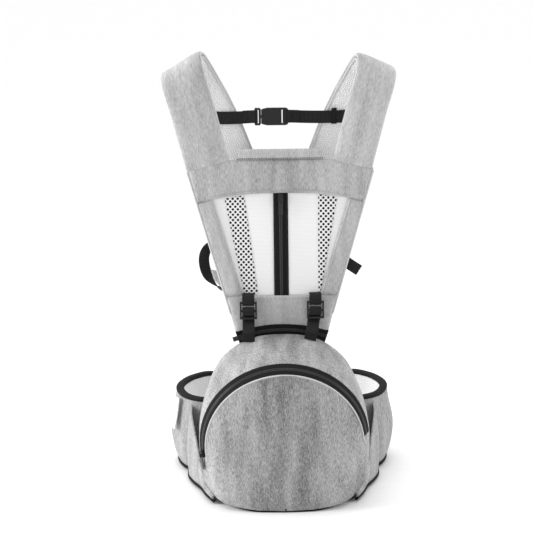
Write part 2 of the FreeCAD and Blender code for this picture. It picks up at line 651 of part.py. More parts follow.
def belt_parts():
    lows = [BELT_LOW] * 8 + [19, 34]
    highs = [BELT_HIGH] * 8 + [113, 98]
    edges = list(zip(lows, highs))
    save_pair("belt_wing", belt_wall(edges, BELT_THICK, 0, BELT_BULGE))
    inside = (BELT_THICK + LINING_THICK) / 2
    save_pair("belt_lining", belt_wall(edges, LINING_THICK, inside, 0))
    total = BELT_THICK + LINING_THICK + 1.5
    shift = LINING_THICK / 2
    top = [(high, high + BINDING_HIGH) for high in highs]
    bottom = [(low - BINDING_HIGH, low) for low in lows]
    save_pair("belt_top_binding", belt_wall(top, total, shift, 0))
    tops = [13, 26, 56, 92, 108, 112]
    gusset = gusset_wall(V(-152.5, 84, 0), BELT_LOW, tops, [4, 8, 8, 4, 0, 0], GUSSET_THICK)
    foot = gusset_wall(V(-151.5, 98, 0), BELT_LOW - BINDING_HIGH, [BELT_LOW] * 6, [0] * 6,
                       GUSSET_THICK + 1)
    save_pair("belt_gusset", gusset)
    low_binding = belt_wall(bottom, total, shift, 0).fuse(foot).removeSplitter()
    save_pair("belt_low_binding", low_binding)

    pad = box(-104, 104, SEAT_REAR_Y + 0.5, SEAT_REAR_Y + 13, 4, 129)
    save("belt_back_pad", pad)

    line = [V(-88, WAIST_Y - 5.5, WAIST_Z), V(-64, WAIST_Y - 0.7, WAIST_Z),
            V(-50, WAIST_Y, WAIST_Z), V(-35.2, WAIST_Y, WAIST_Z)]
    upright = [V(0, 0, 1)] * len(line)
    widths = [WAIST_WEB_HALF] * len(line)
    save("waist_webbing_left", strap(line, upright, widths, WEB_THICK / 2, 0, 0, True))
    line[3] = V(-50.4, WAIST_Y, WAIST_Z)
    line[2] = V(-57, WAIST_Y, WAIST_Z)
    right = strap(line, upright, widths, WEB_THICK / 2, 0, 0, True)
    save("waist_webbing_right", mirrored(right))

    tab = box(-8.5, 8.5, 0, WEB_THICK, -25, 25)
    outward = V(-0.905, -0.42, 0)
    spot = V(-163.5, 118.5, 97) + outward * 12.0
    turn = FreeCAD.Rotation(V(0, 0, 1), -65.1).multiply(FreeCAD.Rotation(X_AXIS, -10))
    tab.Placement = FreeCAD.Placement(spot, turn)
    save("belt_tab_left", tab)


os.makedirs("parts", exist_ok=True)
seat_parts()
arch_zip_slider()
panel_parts()
seat_zip_parts()
lock_parts()
buckle_parts()
strap_parts()
side_webbing()
chest_webbing()
belt_parts()
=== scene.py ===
import math

import bmesh
import bpy
import numpy as np
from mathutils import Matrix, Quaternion, Vector, noise


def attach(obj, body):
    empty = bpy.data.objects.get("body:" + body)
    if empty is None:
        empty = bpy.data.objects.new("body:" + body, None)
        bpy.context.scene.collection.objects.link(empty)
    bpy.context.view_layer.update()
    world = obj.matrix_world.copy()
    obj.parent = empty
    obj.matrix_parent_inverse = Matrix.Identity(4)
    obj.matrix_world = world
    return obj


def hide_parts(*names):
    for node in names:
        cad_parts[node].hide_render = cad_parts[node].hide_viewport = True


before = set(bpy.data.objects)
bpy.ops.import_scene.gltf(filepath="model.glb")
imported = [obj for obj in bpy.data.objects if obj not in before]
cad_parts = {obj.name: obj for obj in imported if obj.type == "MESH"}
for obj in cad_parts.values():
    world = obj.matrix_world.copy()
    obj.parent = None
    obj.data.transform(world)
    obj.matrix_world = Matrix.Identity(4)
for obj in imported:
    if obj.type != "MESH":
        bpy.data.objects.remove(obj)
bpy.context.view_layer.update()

# The looks of the hip-seat carrier. Shapes are in millimetres in the CAD's frame: +X right,
# +Y towards the wearer, +Z up; MM turns them into Blender's metres. Cloth patterns, lamps
# and the camera are in metres.
MM = 0.001
BODY = "carrier"
SIDES = (("left", -1), ("right", 1))


# ------------ dimensions

# Hip seat outlines, front to back: depth, arch centre height, tilt, half width, rise,
# half width at the foot, squareness.
SEAT_SECTIONS = [
    (-92.0, 92.0, 0.0, 36.0, 44.0, 22.0, 2.0),
    (-90.0, 93.0, 0.0, 66.0, 75.0, 42.0, 2.0),
    (-85.0, 94.0, 1.5, 90.0, 97.0, 58.0, 2.0),
    (-77.0, 94.0, 4.0, 106.0, 110.0, 73.0, 2.0),
    (-68.0, 94.0, 8.0, 114.0, 116.5, 84.0, 2.0),
    (-59.63, 94.18, 11.0, 120.0, 120.0, 92.0, 2.0),
    (-40.0, 98.0, 11.0, 130.0, 130.0, 102.0, 2.0),
    (-25.0, 98.0, 9.5, 131.0, 132.5, 105.0, 2.05),
    (-5.0, 98.0, 7.0, 131.5, 135.5, 107.0, 2.1),
    (20.0, 98.0, 4.5, 131.0, 137.5, 108.0, 2.2),
    (48.0, 98.0, 2.0, 129.0, 138.0, 108.0, 2.3),
    (75.0, 98.0, 0.0, 125.0, 138.0, 106.0, 2.4),
]
ARCH_SECTION = 5  # the row of SEAT_SECTIONS in the arch zip's plane
SEAT_FLOOR = 3.0
SEAT_MIDDLE = np.array([0.0, 0.0, 90.0])
COVER = 3.0
ARCH_CENTRE = np.array([0.0, -40.0, 98.0])
ARCH_TILT = math.radians(11.0)
ARCH_RADIUS = 130.0
ARCH_DEPTH = 20.0
ARCH_DROP = 10.0
ARCH_TAPE_WIDE = 22.4
ARCH_START = math.radians(6.0)
ARCH_END = math.radians(190.0)

# Front panel plane and outlines (across, up the panel).
PANEL_FOOT = np.array([0.0, 78.0, 249.0])
PANEL_LEAN = math.radians(2.5)
PANEL_HALF = 2.5
PANEL_FOOT_HALF = 75.0
PANEL_SPREAD = 0.285
WINDOW_LOW = 49.0
WINDOW_HIGH = 203.0
WINDOW_FOOT_HALF = 60.5
WINDOW_SPREAD = 46.5
BAND_MIDDLE = 212.0
PANEL_TOP = 265.0

SEAT_ZIP_RADIUS = 224.0
SEAT_ZIP_Z = 19.0
SEAT_ZIP_DEG = 18.5
SEAT_REAR_Y = 75.0

STRAP_THICK = 12.0
LINING = 2.5
CHEST_Y = 124.6
CHEST_X = -28.5
CHEST_Z = 577.0
BELT_THICK = 9.0
BINDING_HIGH = 6.0
WAIST_Y = 272.0
WAIST_Z = 66.0
LOCK_X = -53.0
LOCK_Y = 68.0
LOCK_Z = 289.0
LOCK_LOOP_Y = 75.6
LOCK_WEB_HALF = 9.7
# How far in each lock strap slants below LOCK_SLANT_TOP, over a height of LOCK_SLANT_DROP.
LOCK_SLANTS = {"left": 0.0, "right": 10.0}
LOCK_SLANT_TOP = 270.0
LOCK_SLANT_DROP = 37.4
COIL_PITCH = 1.6
CAMERA_ROLL = -0.6


# ------------ materials


class Shader:
    """A node material built from short calls; every pattern is procedural."""

    def __init__(self, name, roughness, sheen=0.0, specular=0.5):
        self.material = bpy.data.materials.new(name)
        self.material.use_nodes = True
        self.tree = self.material.node_tree
        self.bsdf = self.tree.nodes["Principled BSDF"]
        self.bsdf.inputs["Roughness"].default_value = roughness
        self.bsdf.inputs["Sheen Weight"].default_value = sheen
        self.bsdf.inputs["Specular IOR Level"].default_value = specular

    def add(self, kind, **values):
        """Add a node; values name its sockets or, where there is no such socket, its fields."""
        made = self.tree.nodes.new(kind)
        for key, value in values.items():
            socket = made.inputs.get(key.replace("_", " "))
            if socket is None:
                setattr(made, key, value)
            elif isinstance(value, bpy.types.NodeSocket):
                self.tree.links.new(value, socket)
            else:
                socket.default_value = value
        return made

    def math(self, operation, a, b=0.0):
        made = self.add("ShaderNodeMath", operation=operation)
        for socket, value in zip(made.inputs, (a, b)):
            if isinstance(value, bpy.types.NodeSocket):
                self.tree.links.new(value, socket)
            else:
                socket.default_value = value
        return made.outputs[0]

    def weave(self, along=1.0, across=1.0, through=1.0):
        """Coordinates stored on the mesh: along the cloth, across it and through it."""
        source = self.add("ShaderNodeAttribute", attribute_name="weave")
        scaled = self.add("ShaderNodeVectorMath", operation="MULTIPLY")
        self.tree.links.new(source.outputs["Vector"], scaled.inputs[0])
        scaled.inputs[1].default_value = (along, across, through)
        return scaled.outputs[0]

    def noise(self, vector, scale, detail=2.0):
        made = self.add("ShaderNodeTexNoise", Vector=vector, Scale=scale, Detail=detail)
        return made.outputs["Fac"]

    def ramp(self, value, stops):
        made = self.add("ShaderNodeValToRGB", Fac=value)
        ends = made.color_ramp.elements
        for index, (place, colour) in enumerate(stops):
            stop = ends[index] if index < 2 else ends.new(place)
            stop.position = place
            stop.color = (*colour, 1.0)
        return made.outputs["Color"]

    def colour(self, value):
        if isinstance(value, bpy.types.NodeSocket):
            self.tree.links.new(value, self.bsdf.inputs["Base Color"])
        else:
            self.bsdf.inputs["Base Color"].default_value = (*value, 1.0)
        return self

    def bump(self, height, strength, distance):
        made = self.add("ShaderNodeBump", Height=height, Strength=strength, Distance=distance)
        self.tree.links.new(made.outputs["Normal"], self.bsdf.inputs["Normal"])
        return self.material


def grey(value):
    return (value, value, value)


def heather(name, dark, light, painted_shade=0.0):
    """Heather cloth: pale ground with darker slubs running along the cloth.

    The last argument paints shade: it darkens the cloth towards the middle of the carrier, where
    less of the side lamps' light falls.
    """
    s = Shader(name, 0.95, 0.05, 0.15)
    slub = s.noise(s.weave(0.16, 1.0, 1.0), 900.0, 3.0)
    fleck = s.noise(s.weave(0.6, 1.0, 1.0), 2100.0, 2.0)
    pick = s.noise(s.weave(1.0, 0.2, 1.0), 1300.0, 2.0)
    streak = s.noise(s.weave(0.15, 1.0, 1.0), 48.0, 2.0)
    mixed = s.math("ADD", s.math("MULTIPLY", slub, 0.38), s.math("MULTIPLY", fleck, 0.22))
    mixed = s.math("ADD", mixed, s.math("MULTIPLY", pick, 0.15))
    mixed = s.math("ADD", mixed, s.math("MULTIPLY", streak, 0.25))
    # Painted shade: a smooth ramp on the distance from the carrier's middle, zero past 85 mm, is
    # taken off the cloth's tone.
    place = s.add("ShaderNodeTexCoord").outputs["Object"]
    sideways = s.add("ShaderNodeSeparateXYZ", Vector=place).outputs["X"]
    near = s.add("ShaderNodeMapRange", Value=s.math("ABSOLUTE", sideways))
    near.interpolation_type = "SMOOTHSTEP"
    near.inputs["From Max"].default_value = 0.085
    near.inputs["To Min"].default_value = painted_shade
    near.inputs["To Max"].default_value = 0.0
    mixed_with_painted_shade = s.math("SUBTRACT", mixed, near.outputs[0])
    s.colour(s.ramp(mixed_with_painted_shade, [(0.38, grey(dark)), (0.61, grey(light))]))
    return s.bump(mixed, 0.5, 0.0006)


def plain_cloth(name, dark, light, scale=900.0):
    s = Shader(name, 0.9, 0.0, 0.12)
    grain = s.noise(s.weave(), scale, 2.0)
    s.colour(s.ramp(grain, [(0.35, grey(dark)), (0.65, grey(light))]))
    return s.bump(grain, 0.4, 0.0005)


def dots(s, pitch_along, pitch_across, radius):
    """1 inside staggered round dots of this pitch, 0 between them, softly edged."""
    split = s.add("ShaderNodeSeparateXYZ", Vector=s.weave())
    down = s.math("DIVIDE", split.outputs["X"], pitch_along)
    row = s.math("FLOOR", down)
    odd = s.math("MULTIPLY", s.math("MODULO", s.math("ABSOLUTE", row), 2.0), 0.5)
    over = s.math("ADD", s.math("DIVIDE", split.outputs["Y"], pitch_across), odd)
    dy = s.math("MULTIPLY", s.math("SUBTRACT", s.math("FRACT", down), 0.5), pitch_along)
    dx = s.math("MULTIPLY", s.math("SUBTRACT", s.math("FRACT", over), 0.5), pitch_across)
    reach = s.math("SQRT", s.math("ADD", s.math("MULTIPLY", dx, dx), s.math("MULTIPLY", dy, dy)))
    made = s.add("ShaderNodeMapRange", Value=reach)
    made.inputs["From Min"].default_value = radius * 1.12
    made.inputs["From Max"].default_value = radius * 0.88
    return made.outputs[0]


def dotted(name, ground, hole, pitch_along, pitch_across, radius, strength):
    s = Shader(name, 0.85, 0.0, 0.2)
    inside = dots(s, pitch_along, pitch_across, radius)
    s.colour(s.ramp(inside, [(0.0, grey(ground)), (1.0, grey(hole))]))
    return s.bump(s.math("SUBTRACT", 1.0, inside), strength, 0.0007)


def ribbed(name, dark, light, pitch, strength, roughness, across=False):
    """Ribs across the cloth at this pitch (or along it), for webbing, tape and lining."""
    s = Shader(name, roughness, 0.0, 0.15)
    split = s.add("ShaderNodeSeparateXYZ", Vector=s.weave())
    lane = split.outputs["Y" if across else "X"]
    wave = s.math("SINE", s.math("MULTIPLY", lane, 2 * math.pi / pitch))
    ribs = s.math("ADD", s.math("MULTIPLY", wave, 0.5), 0.5)
    fuzz = s.noise(s.weave(), 1400.0, 2.0)
    level = s.math("ADD", s.math("MULTIPLY", ribs, 0.7), s.math("MULTIPLY", fuzz, 0.3))
    s.colour(s.ramp(level, [(0.15, grey(dark)), (0.8, grey(light))]))
    return s.bump(level, strength, 0.0005)


def gridded(name, dark, light, pitch):
    """Spacer mesh: raised pale cells between fine darker lines both ways."""
    s = Shader(name, 0.85, 0.0, 0.2)
    split = s.add("ShaderNodeSeparateXYZ", Vector=s.weave())
    waves = []
    for lane, stretch in ((split.outputs["X"], 1.0), (split.outputs["Y"], 1.15)):
        wave = s.math("SINE", s.math("MULTIPLY", lane, math.pi / pitch / stretch))
        waves.append(s.math("ABSOLUTE", wave))
    cell = s.math("MULTIPLY", waves[0], waves[1])
    s.colour(s.ramp(cell, [(0.0, grey(dark)), (0.42, grey(light))]))
    return s.bump(cell, 0.9, 0.0008)


def solid(name, base, roughness, grain, metallic=0.0):
    s = Shader(name, roughness, 0.0, 0.35)
    s.bsdf.inputs["Metallic"].default_value = metallic
    place = s.add("ShaderNodeTexCoord").outputs["Object"]
    speck = s.noise(place, 1800.0, 2.0)
    s.colour(s.ramp(speck, [(0.3, grey(base * 0.85)), (0.7, grey(base * 1.15))]))
    return s.bump(speck, grain, 0.0003)


MATS = {
    "heather_cloth": heather("heather_cloth", 0.28, 0.60),
    # Painted shade: the heather cloth again, darkened towards the middle of the carrier.
    "heather_band_painted_shade": heather("heather_band_painted_shade", 0.24, 0.62, 0.055),
    # Painted shade: a darker copy of the heather cloth for the seat, wings and gussets, also
    # darkened towards the middle of the carrier.
    "heather_dark_painted_shade": heather("heather_dark_painted_shade", 0.13, 0.54, 0.045),
    "black_cloth": plain_cloth("black_cloth", 0.008, 0.02),
    "white_mesh": dotted("white_mesh", 0.92, 0.76, 0.0021, 0.0025, 0.00055, 0.6),
    "vent_cloth": dotted("vent_cloth", 0.84, 0.004, 0.0042, 0.0079, 0.00195, 0.8),
    "rib_mesh": gridded("rib_mesh", 0.70, 0.95, 0.0030),
    "white_cloth": plain_cloth("white_cloth", 0.68, 0.82),
    "pale_piping": plain_cloth("pale_piping", 0.46, 0.66, 1600.0),
    "black_binding": ribbed("black_binding", 0.006, 0.018, 0.0012, 0.5, 0.8),
    "black_webbing": ribbed("black_webbing", 0.006, 0.026, 0.0021, 0.9, 0.7),
    "zip_tape": ribbed("zip_tape", 0.006, 0.014, 0.0009, 0.5, 0.8, True),
    "zip_coil": solid("zip_coil", 0.03, 0.35, 0.1),
    "foam": plain_cloth("foam", 0.6, 0.8, 260.0),
    "zip_metal": solid("zip_metal", 0.05, 0.35, 0.15, 0.9),
    "black_plastic": solid("black_plastic", 0.010, 0.4, 0.25),
    "thread_dark": plain_cloth("thread_dark", 0.03, 0.06, 2400.0),
    "thread_pale": plain_cloth("thread_pale", 0.34, 0.46, 2400.0),
}


# ------------ mesh tools


def spline(points, steps):
    """Catmull-Rom curve through the points, as rows of an array."""
    p = np.array(points, float)
    rows = []
    last = len(p) - 1
    for i in range(last):
        a, b, c, d = p[max(i - 1, 0)], p[i], p[i + 1], p[min(i + 2, last)]
        for k in range(steps):
            t = k / steps
            rows.append(0.5 * (2 * b + (c - a) * t + (2 * a - 5 * b + 4 * c - d) * t ** 2
                               + (3 * b - a - 3 * c + d) * t ** 3))
    rows.append(p[last])
    return np.array(rows)


def smooth(values, steps):
    """A smooth row of numbers through the given ones."""
    return spline(np.array(values, float)[:, None], steps)[:, 0]


def run_along(points):
    """Distance along the line from its first point to each of its points."""
    return np.concatenate([[0], np.cumsum(np.linalg.norm(np.diff(points, axis=0), axis=1))])


def resample(points, step):
    """The same line with evenly spaced points about this far apart."""
    p = np.array(points, float)
    length = run_along(p)
    count = max(2, int(round(length[-1] / step)) + 1)
    spots = np.linspace(0, length[-1], count)
    return np.stack([np.interp(spots, length, p[:, k]) for k in range(p.shape[1])], axis=1)


def unit(rows):
    size = np.linalg.norm(rows, axis=-1, keepdims=True)
    return rows / np.maximum(size, 1e-9)


def build(name, verts, faces, weave, material, nodes=(), sharp=50, slot=None, body=BODY):
    """A closed mesh that rides a body, with its cloth coordinates stored on its points."""
    mesh = bpy.data.meshes.new(name)
    mesh.from_pydata((np.array(verts) * MM).tolist(), [], faces)
    layer = mesh.attributes.new("weave", "FLOAT_VECTOR", "POINT")
    layer.data.foreach_set("vector", (np.array(weave, float) * MM).ravel())
    shape = bmesh.new()
    shape.from_mesh(mesh)
    bmesh.ops.recalc_face_normals(shape, faces=shape.faces)
    shape.to_mesh(mesh)
    shape.free()
    mesh.polygons.foreach_set("use_smooth", [True] * len(mesh.polygons))
    mesh.set_sharp_from_angle(angle=math.radians(sharp))
    mesh.materials.append(MATS[material])
    obj = bpy.data.objects.new(name, mesh)
    bpy.context.scene.collection.objects.link(obj)
    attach(obj, body)
    if nodes:
        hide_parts(*nodes)
    return obj


def loft(name, rings, weave, material, **facts):
    """Closed mesh through equal rings of points, its two ends closed by fans."""
    rings = np.array(rings, float)
    rows, count = rings.shape[:2]
    verts = list(rings.reshape(-1, 3))
    marks = list(np.array(weave, float).reshape(-1, 3))
    faces = []
    for i in range(rows - 1):
        for j in range(count):
            k = (j + 1) % count
            faces.append((i * count + j, i * count + k, (i + 1) * count + k, (i + 1) * count + j))
    for row, start in ((0, 0), (rows - 1, (rows - 1) * count)):
        middle = len(verts)
        verts.append(rings[row].mean(axis=0))
        marks.append(np.array(weave, float).reshape(rows, count, 3)[row].mean(axis=0))
        faces += [(start + j, start + (j + 1) % count, middle) for j in range(count)]
    return build(name, verts, faces, marks, material, **facts)


def shell(name, outer, inner, weave, material, **facts):
    """Closed sheet between two equal grids of points, joined round their edges."""
    outer, inner = np.array(outer, float), np.array(inner, float)
    rows, count = outer.shape[:2]
    verts = np.concatenate([outer.reshape(-1, 3), inner.reshape(-1, 3)])
    marks = np.concatenate([np.array(weave, float).reshape(-1, 3)] * 2)
    under = rows * count
    faces = []
    for i in range(rows - 1):
        for j in range(count - 1):
            a, b = i * count + j, i * count + j + 1
            c, d = b + count, a + count
            faces += [(a, b, c, d), (under + d, under + c, under + b, under + a)]
    edge = list(range(count))
    edge += [i * count + count - 1 for i in range(1, rows)]
    edge += [(rows - 1) * count + j for j in range(count - 2, -1, -1)]
    edge += [i * count for i in range(rows - 2, 0, -1)]
    for a, b in zip(edge, edge[1:] + edge[:1]):
        faces.append((b, a, under + a, under + b))
    return build(name, verts, faces, marks, material, **facts)


def grid_normals(grid):
    du = np.gradient(grid, axis=0)
    dv = np.gradient(grid, axis=1)
    return unit(np.cross(du, dv))


def frames(path, across):
    """Side and normal directions of a band that follows the path."""
    tangent = unit(np.gradient(path, axis=0))
    side = np.broadcast_to(np.array(across, float), path.shape)
    side = unit(side - tangent * np.sum(side * tangent, axis=1, keepdims=True))
    return side, np.cross(tangent, side)


def band(name, path, across, profile, material, wave=0.0, **facts):
    """A closed band: profile(i, share) gives (across, outwards) points for each step."""
    path = np.array(path, float)
    side, normal = frames(path, across)
    run = run_along(path)
    rings, marks = [], []
    for i, point in enumerate(path):
        outline = profile(i, run[i] / run[-1])
        ring = [point + side[i] * a + normal[i] * b for a, b in outline]
        if wave:
            ring = [p + normal[i] * wave * noise.noise(Vector(p) * 0.03) for p in ring]
        rings.append(ring)
        marks.append([(run[i], a, b) for a, b in outline])
    return loft(name, rings, marks, material, **facts)


def round_flat(half_width, half_thick, corners=3):
    """Outline of a flat band with rounded edges."""
    points = []
    radius = min(half_thick, half_width)
    for sign in (1, -1):
        for k in range(corners + 1):
            angle = math.pi * (k / corners - 0.5)
            a = sign * (half_width - radius + radius * math.cos(angle))
            points.append((a, sign * half_thick * math.sin(angle)))
        flat = np.linspace(half_width - radius, radius - half_width, 6)[1:-1]
        points += [(sign * x, sign * half_thick) for x in flat]
    return points


def webbing(name, path, across, half_width, nodes=(), thick=1.6, step=2.5,
            material="black_webbing"):
    """A woven strap along the points; across is one direction, or one for each point."""
    line = resample(spline(path, 8), step)
    if np.ndim(across) > 1:
        turn = spline(across, 8)
        spots = np.linspace(0, len(turn) - 1, len(line))
        across = np.stack([np.interp(spots, range(len(turn)), turn[:, k]) for k in range(3)], 1)
    outline = round_flat(half_width, thick / 2)
    return band(name, line, across, lambda i, share: outline, material, nodes=nodes)


def tube(name, path, radius, material, sides=8, bumps=None, **facts):
    """A round cord sewn to the cloth, such as piping, or a zip's coil with its teeth."""
    path = np.array(path, float)
    tangent = unit(np.gradient(path, axis=0))
    guide = np.array([0.0, 1.0, 0.0])
    if abs(tangent[:, 1]).max() > 0.9:
        guide = np.array([1.0, 0.0, 0.0])
    angles = np.linspace(0, 2 * math.pi, sides, endpoint=False)

    def profile(i, share):
        r = radius * (bumps(i) if bumps else 1.0)
        return [(r * math.cos(a), r * math.sin(a)) for a in angles]

    return band(name, path, guide, profile, material, **facts)


def coil(name, path, radius):
    """A zip's coil: a cord that is thinner at every other step."""
    line = resample(path, COIL_PITCH / 2)
    return tube(name, line, radius, "zip_coil", sides=7,
                bumps=lambda i: 1.0 if i % 2 else 0.72, slot="zip_tape")


def stitches(name, path, normal, material="thread_dark", pitch=3.6, length=2.2, size=0.42,
             lift=0.15):
    """A row of short threads lying on the cloth along a seam."""
    path = np.array(path, float)
    normal = np.broadcast_to(np.array(normal, float), path.shape)
    line = resample(path, pitch)
    spots = np.linspace(0, 1, len(line))
    had = np.linspace(0, 1, len(path))
    normal = unit(np.stack([np.interp(spots, had, normal[:, k]) for k in range(3)], axis=1))
    tangent = unit(np.gradient(line, axis=0))
    side = np.cross(tangent, normal)
    verts, faces, marks = [], [], []
    for point, t, n, s in zip(line, tangent, normal, side):
        start = len(verts)
        for along, grow in ((-0.5, 0.35), (-0.3, 1.0), (0.3, 1.0), (0.5, 0.35)):
            for turn in range(6):
                angle = turn * math.pi / 3
                offset = s * math.cos(angle) + n * math.sin(angle) * 0.8
                verts.append(point + t * along * length + offset * size * grow + n * lift)
                marks.append((along * length, offset[0], offset[1]))
        for ring in range(3):
            a = start + ring * 6
            faces += [(a + k, a + (k + 1) % 6, a + 6 + (k + 1) % 6, a + 6 + k) for k in range(6)]
        faces.append(tuple(start + k for k in range(6)))
        faces.append(tuple(start + 18 + k for k in range(6)))
    return build(name, verts, faces, marks, material, slot="heather_cloth")


def flip(points):
    return np.array(points, float) * np.array([-1.0, 1.0, 1.0])


def both(make):
    """Call make(name ending, mirror function) for the left piece and the right one."""
    make("left", lambda points: np.array(points, float))
    make("right", flip)


# ------------ hip seat


def seat_outline(row, inset=0.0, crown_steps=64):
    """One open arch of the seat, from the right foot over the crown to the left foot."""
    depth, middle, tilt, half_width, rise, foot_half, power = row
    lean = math.radians(tilt)
    a, h, b = half_width - inset, rise - inset, foot_half - inset
    drop = (middle - SEAT_FLOOR) / math.cos(lean)
    leg = [(b, -drop), (b + 0.55 * (a - b), -0.95 * drop), (b + 0.8 * (a - b), -0.78 * drop),
           (b + 0.93 * (a - b), -0.5 * drop), (b + 0.985 * (a - b), -0.24 * drop), (a, 0)]
    leg = spline(leg, 6)[:-1]
    angle = np.linspace(0, math.pi, crown_steps + 1)
    crown_x = a * np.sign(np.cos(angle)) * np.abs(np.cos(angle)) ** (2 / power)
    crown_s = h * np.abs(np.sin(angle)) ** (2 / power)
    x = np.concatenate([leg[:, 0], crown_x, -leg[::-1, 0]])
    s = np.concatenate([leg[:, 1], crown_s, leg[::-1, 1]])
    return np.stack([x, depth - s * math.sin(lean), middle + s * math.cos(lean)], axis=1)


def closing_rows(outline, depth_bulge, shares):
    """Rows that close an arch towards the middle of its foot, doming by depth_bulge."""
    low = np.array([0.0, outline[0][1], SEAT_FLOOR])
    rows = []
    for share in shares:
        row = low + (outline - low) * share
        row[:, 1] = outline[:, 1] * share + outline[0][1] * (1 - share)
        row[:, 1] += depth_bulge * (1 - share ** 2)
        rows.append(row)
    return rows


def cloth_relief(grid, size, scale):
    """Push a grid out and in a little, as stuffed cloth does; the foot stays put."""
    normals = grid_normals(grid)
    out = grid.copy()
    for i in range(grid.shape[0]):
        for j in range(grid.shape[1]):
            p = grid[i, j]
            free = min(1.0, max(0.0, (p[2] - 6) / 25))
            out[i, j] += normals[i, j] * size * free * noise.noise(Vector(p) * scale)
    return out


def seat_cloth(name, grid, nodes):
    """A sheet of seat cloth, COVER thick, under the given outer grid."""
    normals = grid_normals(grid)
    centre = len(grid) // 2, grid.shape[1] // 2
    outward = 1 if np.dot(normals[centre], grid[centre] - SEAT_MIDDLE) > 0 else -1
    inner = grid - normals * outward * COVER
    down = grid[..., 2] + grid[..., 1]
    weave = np.stack([down, grid[..., 0], 0.16 * (grid[..., 1] - grid[..., 2])], axis=-1)
    return shell(name, grid, inner, weave, "heather_dark_painted_shade", nodes=nodes, sharp=60,
                 slot="heather_cloth")


def make_seat():
    steps = 4
    split = ARCH_SECTION * steps
    table = spline(SEAT_SECTIONS, steps)
    rows = [seat_outline(r) for r in table]
    front = closing_rows(rows[0], -2.2, (0.03, 0.25, 0.5, 0.72, 0.88)) + rows[:split + 1]
    right = rows[split][:, 0] > 0
    tail_s = ARCH_RADIUS * np.where(right, math.sin(ARCH_START), math.sin(ARCH_END))
    height = rows[split][:, 2] - ARCH_CENTRE[2]
    for k in range(1, steps + 1):
        low = np.clip((tail_s + 2 - height) / 8, 0, 1)[:, None]
        step = rows[split] * (1 - k / steps) + rows[split + steps] * (k / steps)
        front.append(rows[split] * (1 - low) + step * low)
    front = np.array(front)
    front = cloth_relief(front, 1.6, 0.018)
    seat_cloth("seat_front_cloth", front, ["seat_front_pocket"])

    back = rows[split + steps:] + closing_rows(rows[-1], 0.0, (0.985, 0.8, 0.5, 0.2, 0.03))
    back = cloth_relief(np.array(back), 1.2, 0.02)
    seat_cloth("seat_top_cloth", back, ["seat_top_cover"])

    core_rows = [seat_outline(r, COVER + 1.0) for r in table[::2]]
    core_rows = [r + np.array([0, (COVER + 1) * (1 - 2 * k / (len(core_rows) - 1)), 1.0])
                 for k, r in enumerate(core_rows)]
    weave = [[(p[2], p[0], p[1]) for p in r] for r in core_rows]
    core = loft("seat_core_foam", core_rows, weave, "foam", nodes=["seat_foam_core"])
    return rows


seat_lines = make_seat()


def make_seat_base():
    edge = [row[0] for row in seat_lines]
    edge = edge + [row[-1] for row in reversed(seat_lines)]
    edge = np.array([[p[0], p[1], 0] for p in edge])
    middle = edge.mean(axis=0)
    rings = []
    for z, share in ((0.0, 0.985), (0.6, 1.0), (2.4, 1.0), (2.9, 0.985)):
        ring = middle + (edge - middle) * share
        ring[:, 2] = z
        rings.append(ring)
    weave = [[(p[1], p[0], p[2]) for p in r] for r in rings]
    loft("seat_base_cloth", rings, weave, "black_cloth", nodes=["seat_base_panel"])


make_seat_base()


def arch_point(radius, angle, depth):
    """A point in the arch zip's frame: angle 0 is at the right, depth is forwards."""
    x = radius * np.cos(angle)
    s = radius * np.sin(angle)
    up = np.array([0.0, -math.sin(ARCH_TILT), math.cos(ARCH_TILT)])
    forward = np.array([0.0, -math.cos(ARCH_TILT), -math.sin(ARCH_TILT)])
    return (ARCH_CENTRE + np.multiply.outer(x, [1.0, 0, 0]) + np.multiply.outer(s, up)
            + np.multiply.outer(np.broadcast_to(depth, np.shape(angle)), forward))


def make_arch_zip():
    angles = np.linspace(ARCH_START, ARCH_END, 220)
    run = angles * ARCH_RADIUS
    ends = [(0.0, 0.0), (0.06, 0.25), (0.22, 0.5), (0.38, 0.25), (0.5, 0.0),
            (0.62, 0.25), (0.78, 0.5), (0.94, 0.25), (1.0, 0.0)]
    outer, inner, weave = [], [], []
    for share, lift in ends:
        radius = ARCH_RADIUS - ARCH_DROP * share
        outer.append(arch_point(radius + lift, angles, ARCH_DEPTH * share + lift * 0.5))
        inner.append(arch_point(radius - 1.3, angles, ARCH_DEPTH * share - 0.8))
        weave.append(np.stack([run, run * 0 + share * ARCH_TAPE_WIDE, run * 0], axis=1))
    shell("arch_zip_tapes", np.array(outer), np.array(inner), np.array(weave), "zip_tape",
          nodes=["pocket_zip_tape"])
    middle = ARCH_RADIUS - ARCH_DROP / 2
    fine = np.linspace(ARCH_START, ARCH_END, 500)
    for side, gap in (("front", 1.3), ("back", -1.3)):
        line = arch_point(middle - gap * 0.45, fine, ARCH_DEPTH / 2 + gap)
        coil(f"arch_zip_coil_{side}", line, 1.45)
    edge = np.linspace(ARCH_START - 0.03, ARCH_END + 0.03, 240)
    welt = arch_point(ARCH_RADIUS - ARCH_DROP + 0.3, edge, ARCH_DEPTH + 0.9)
    tube("arch_front_piping", welt, 1.3, "pale_piping", slot="heather_cloth")
    sewn = arch_point(ARCH_RADIUS - ARCH_DROP - 0.6, edge, ARCH_DEPTH + 4.6)
    spread = sewn - ARCH_CENTRE
    stitches("arch_front_stitches", sewn, unit(spread), "thread_pale", pitch=3.4, lift=0.6)


make_arch_zip()


# ------------ front panel


def on_panel(x, s, t):
    """A point across the panel, up it, and through it (positive towards the wearer)."""
    up = np.array([0.0, math.sin(PANEL_LEAN), math.cos(PANEL_LEAN)])
    through = np.array([0.0, math.cos(PANEL_LEAN), -math.sin(PANEL_LEAN)])
    return (PANEL_FOOT + np.multiply.outer(x, [1.0, 0, 0]) + np.multiply.outer(s, up)
            + np.multiply.outer(t, through))


